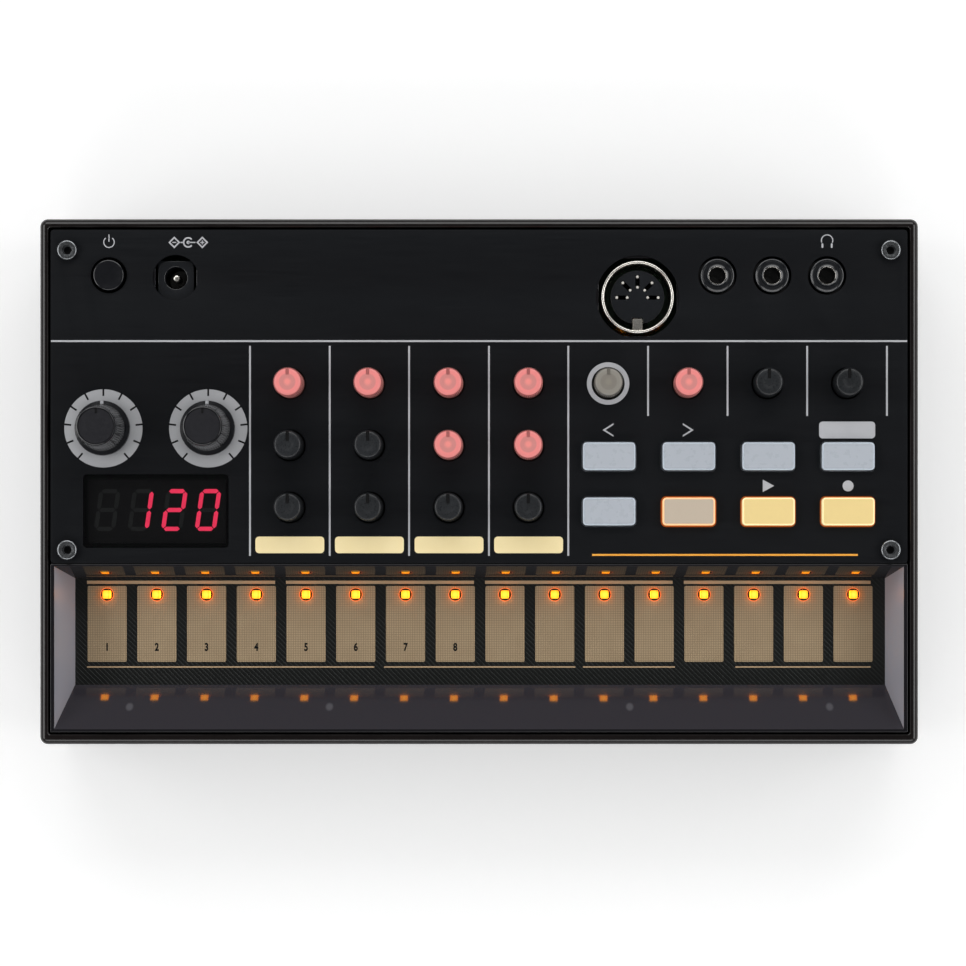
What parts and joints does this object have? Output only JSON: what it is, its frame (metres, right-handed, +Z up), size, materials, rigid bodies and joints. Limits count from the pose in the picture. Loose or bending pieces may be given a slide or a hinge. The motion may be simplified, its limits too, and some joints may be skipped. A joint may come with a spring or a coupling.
{
  "type": "drum machine",
  "caption": "Flat desktop drum machine with a knob and button panel, a four digit display, rear sockets and a sunken touch strip with lit pads.",
  "frame": {"origin": "under the middle of the case, on the table", "axes": "+X to the right along the panel, +Y from the touch strip to the sockets, +Z up"},
  "size_m": [0.193, 0.1154, 0.046],
  "materials": {
    "case_abs": "fine spark texture",
    "smoked_cover": "polished smoked polycarbonate",
    "printed_panel": "satin, screen printed",
    "screw_steel": "black zinc plated socket screws",
    "foot_rubber": "matt",
    "circuit_board": "black solder mask over copper",
    "touch_pad": "gold flashed copper",
    "amber_led": "lit amber chip",
    "pot_body": "moulded",
    "silicone": "translucent silicone",
    "display_lens": "tinted acrylic",
    "display_body": "epoxy filled reflector",
    "black_knob": "fine knurl",
    "lit_knob": "translucent, lit red",
    "clear_knob": "translucent, unlit",
    "button_resin": "translucent resin",
    "socket_black": "moulded nylon",
    "bright_metal": "nickel plated",
    "shaft_metal": "turned",
    "speaker_steel": "zinc plated",
    "cone_paper": "pressed pulp",
    "cell_sleeve": "plain sleeve"
  },
  "bodies": {
    "chassis": {"bottom_case": "case_abs", "top_case": "case_abs", "smoke_cover": "smoked_cover", "front_panel": "printed_panel", "panel_screws": "screw_steel", "case_screws": "screw_steel", "rubber_feet": "foot_rubber", "touch_board": "circuit_board", "touch_pads": "touch_pad", "pad_leds": "amber_led", "main_board": "circuit_board", "control_leds": "amber_led", "small_pots": "pot_body", "large_pots": "pot_body", "keypad_mat": "silicone", "display_window": "display_lens", "display_module": "display_body", "power_switch": "pot_body", "dc_socket": "socket_black", "dc_pin": "bright_metal", "din_shell": "bright_metal", "din_core": "socket_black", "din_contacts": "bright_metal", "sync_jacks": "socket_black", "headphone_jack": "socket_black", "battery_cells": "cell_sleeve", "battery_contacts": "bright_metal", "speaker_frame": "speaker_steel", "speaker_cone": "cone_paper", "speaker_magnet": "speaker_steel"},
    "echo_rate": {"echo_rate_knob": "black_knob", "echo_rate_shaft": "shaft_metal"},
    "echo_depth": {"echo_depth_knob": "black_knob", "echo_depth_shaft": "shaft_metal"},
    "kick_1": {"kick_1_knob": "lit_knob"},
    "snare_1": {"snare_1_knob": "lit_knob"},
    "tom_1": {"tom_1_knob": "lit_knob"},
    "hat_1": {"hat_1_knob": "lit_knob"},
    "kick_2": {"kick_2_knob": "black_knob"},
    "snare_2": {"snare_2_knob": "black_knob"},
    "tom_2": {"tom_2_knob": "lit_knob"},
    "hat_2": {"hat_2_knob": "lit_knob"},
    "kick_3": {"kick_3_knob": "black_knob"},
    "snare_3": {"snare_3_knob": "black_knob"},
    "tom_3": {"tom_3_knob": "black_knob"},
    "hat_3": {"hat_3_knob": "black_knob"},
    "pitch": {"pitch_knob": "clear_knob"},
    "tempo": {"tempo_knob": "lit_knob"},
    "volume": {"volume_knob": "black_knob"},
    "swing": {"swing_knob": "black_knob"},
    "part_down": {"part_down_button": "button_resin"},
    "part_up": {"part_up_button": "button_resin"},
    "play": {"play_button": "button_resin"},
    "record": {"record_button": "button_resin"},
    "memory": {"memory_button": "button_resin"},
    "step": {"step_button": "button_resin"},
    "loop": {"loop_button": "button_resin"},
    "shift": {"shift_button": "button_resin"},
    "power": {"power_button": "black_knob"},
    "door": {"battery_door": "case_abs"}
  },
  "joints": [
    {"name": "echo_rate_turn", "type": "hinge", "parent": "chassis", "child": "echo_rate", "pos_m": [-0.0824, 0.01165, 0.04], "axis": [0, 0, 1], "range_deg": [-140, 140]},
    {"name": "echo_depth_turn", "type": "hinge", "parent": "chassis", "child": "echo_depth", "pos_m": [-0.0594, 0.01165, 0.04], "axis": [0, 0, 1], "range_deg": [-140, 140]},
    {"name": "kick_1_turn", "type": "hinge", "parent": "chassis", "child": "kick_1", "pos_m": [-0.0415, 0.0215, 0.036], "axis": [0, 0, 1], "range_deg": [-140, 140]},
    {"name": "snare_1_turn", "type": "hinge", "parent": "chassis", "child": "snare_1", "pos_m": [-0.02404, 0.0215, 0.036], "axis": [0, 0, 1], "range_deg": [-140, 140]},
    {"name": "tom_1_turn", "type": "hinge", "parent": "chassis", "child": "tom_1", "pos_m": [-0.00658, 0.0215, 0.036], "axis": [0, 0, 1], "range_deg": [-140, 140]},
    {"name": "hat_1_turn", "type": "hinge", "parent": "chassis", "child": "hat_1", "pos_m": [0.01088, 0.0215, 0.036], "axis": [0, 0, 1], "range_deg": [-140, 140]},
    {"name": "kick_2_turn", "type": "hinge", "parent": "chassis", "child": "kick_2", "pos_m": [-0.0415, 0.0079, 0.036], "axis": [0, 0, 1], "range_deg": [-140, 140]},
    {"name": "snare_2_turn", "type": "hinge", "parent": "chassis", "child": "snare_2", "pos_m": [-0.02404, 0.0079, 0.036], "axis": [0, 0, 1], "range_deg": [-140, 140]},
    {"name": "tom_2_turn", "type": "hinge", "parent": "chassis", "child": "tom_2", "pos_m": [-0.00658, 0.0079, 0.036], "axis": [0, 0, 1], "range_deg": [-140, 140]},
    {"name": "hat_2_turn", "type": "hinge", "parent": "chassis", "child": "hat_2", "pos_m": [0.01088, 0.0079, 0.036], "axis": [0, 0, 1], "range_deg": [-140, 140]},
    {"name": "kick_3_turn", "type": "hinge", "parent": "chassis", "child": "kick_3", "pos_m": [-0.0415, -0.0057, 0.036], "axis": [0, 0, 1], "range_deg": [-140, 140]},
    {"name": "snare_3_turn", "type": "hinge", "parent": "chassis", "child": "snare_3", "pos_m": [-0.02404, -0.0057, 0.036], "axis": [0, 0, 1], "range_deg": [-140, 140]},
    {"name": "tom_3_turn", "type": "hinge", "parent": "chassis", "child": "tom_3", "pos_m": [-0.00658, -0.0057, 0.036], "axis": [0, 0, 1], "range_deg": [-140, 140]},
    {"name": "hat_3_turn", "type": "hinge", "parent": "chassis", "child": "hat_3", "pos_m": [0.01088, -0.0057, 0.036], "axis": [0, 0, 1], "range_deg": [-140, 140]},
    {"name": "pitch_turn", "type": "hinge", "parent": "chassis", "child": "pitch", "pos_m": [0.02832, 0.0215, 0.036], "axis": [0, 0, 1], "range_deg": [-140, 140]},
    {"name": "tempo_turn", "type": "hinge", "parent": "chassis", "child": "tempo", "pos_m": [0.04578, 0.0215, 0.036], "axis": [0, 0, 1], "range_deg": [-140, 140]},
    {"name": "volume_turn", "type": "hinge", "parent": "chassis", "child": "volume", "pos_m": [0.06324, 0.0215, 0.036], "axis": [0, 0, 1], "range_deg": [-140, 140]},
    {"name": "swing_turn", "type": "hinge", "parent": "chassis", "child": "swing", "pos_m": [0.0807, 0.0215, 0.036], "axis": [0, 0, 1], "range_deg": [-140, 140]},
    {"name": "part_down_press", "type": "slide", "parent": "chassis", "child": "part_down", "axis": [0, 0, -1], "range_m": [0, 0.0008], "stiffness_N_per_m": 1000, "springref_m": -0.0005},
    {"name": "part_up_press", "type": "slide", "parent": "chassis", "child": "part_up", "axis": [0, 0, -1], "range_m": [0, 0.0008], "stiffness_N_per_m": 1000, "springref_m": -0.0005},
    {"name": "play_press", "type": "slide", "parent": "chassis", "child": "play", "axis": [0, 0, -1], "range_m": [0, 0.0008], "stiffness_N_per_m": 1000, "springref_m": -0.0005},
    {"name": "record_press", "type": "slide", "parent": "chassis", "child": "record", "axis": [0, 0, -1], "range_m": [0, 0.0008], "stiffness_N_per_m": 1000, "springref_m": -0.0005},
    {"name": "memory_press", "type": "slide", "parent": "chassis", "child": "memory", "axis": [0, 0, -1], "range_m": [0, 0.0008], "stiffness_N_per_m": 1000, "springref_m": -0.0005},
    {"name": "step_press", "type": "slide", "parent": "chassis", "child": "step", "axis": [0, 0, -1], "range_m": [0, 0.0008], "stiffness_N_per_m": 1000, "springref_m": -0.0005},
    {"name": "loop_press", "type": "slide", "parent": "chassis", "child": "loop", "axis": [0, 0, -1], "range_m": [0, 0.0008], "stiffness_N_per_m": 1000, "springref_m": -0.0005},
    {"name": "shift_press", "type": "slide", "parent": "chassis", "child": "shift", "axis": [0, 0, -1], "range_m": [0, 0.0008], "stiffness_N_per_m": 1000, "springref_m": -0.0005},
    {"name": "power_press", "type": "slide", "parent": "chassis", "child": "power", "axis": [0, 0, -1], "range_m": [0, 0.0012], "stiffness_N_per_m": 1000, "springref_m": -0.0008},
    {"name": "door_slide", "type": "slide", "parent": "chassis", "child": "door", "axis": [0, 1, 0], "range_m": [0, 0.032]}
  ]
}
